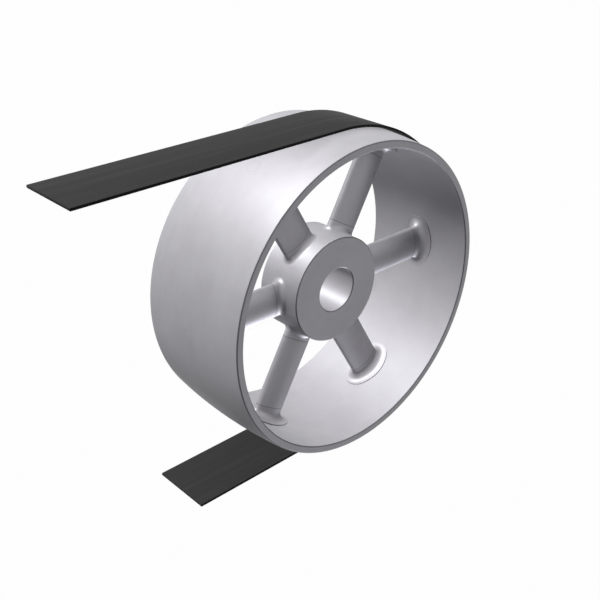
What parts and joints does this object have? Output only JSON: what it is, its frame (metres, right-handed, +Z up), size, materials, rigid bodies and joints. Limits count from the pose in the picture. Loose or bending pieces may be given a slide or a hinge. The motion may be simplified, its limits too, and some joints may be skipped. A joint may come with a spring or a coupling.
{
  "type": "flat belt pulley",
  "caption": "Crowned flat belt pulley with oval arms on flared feet, a short plain-bored hub and a black flat belt led round its far side.",
  "frame": {"origin": "centre of the hub's bore, in the middle plane of the rim and the arms", "axes": "+Y along the bore from the side seen in the picture to the far side, +Z up, the belt's strands leave toward -X"},
  "size_m": [0.3423, 0.1, 0.2546],
  "materials": {
    "rim_metal": "smooth turned",
    "hub_metal": "smooth turned",
    "arm_metal": "satin",
    "foot_metal": "satin",
    "screw_metal": "turned flush",
    "set_screw_metal": "blackened",
    "belt_rubber": "matte"
  },
  "bodies": {
    "belt": {"belt": "belt_rubber"},
    "wheel": {"rim": "rim_metal", "hub": "hub_metal", "arm_1": "arm_metal", "arm_2": "arm_metal", "arm_3": "arm_metal", "arm_4": "arm_metal", "arm_5": "arm_metal", "arm_6": "arm_metal", "arm_foot_1": "foot_metal", "arm_foot_2": "foot_metal", "arm_foot_3": "foot_metal", "arm_foot_4": "foot_metal", "arm_foot_5": "foot_metal", "arm_foot_6": "foot_metal", "rim_screws": "screw_metal", "set_screws": "set_screw_metal"}
  },
  "joints": [
    {"name": "pulley_spin", "type": "hinge", "parent": "belt", "child": "wheel", "pos_m": [0, 0, 0], "axis": [0, 1, 0], "continuous": true}
  ]
}
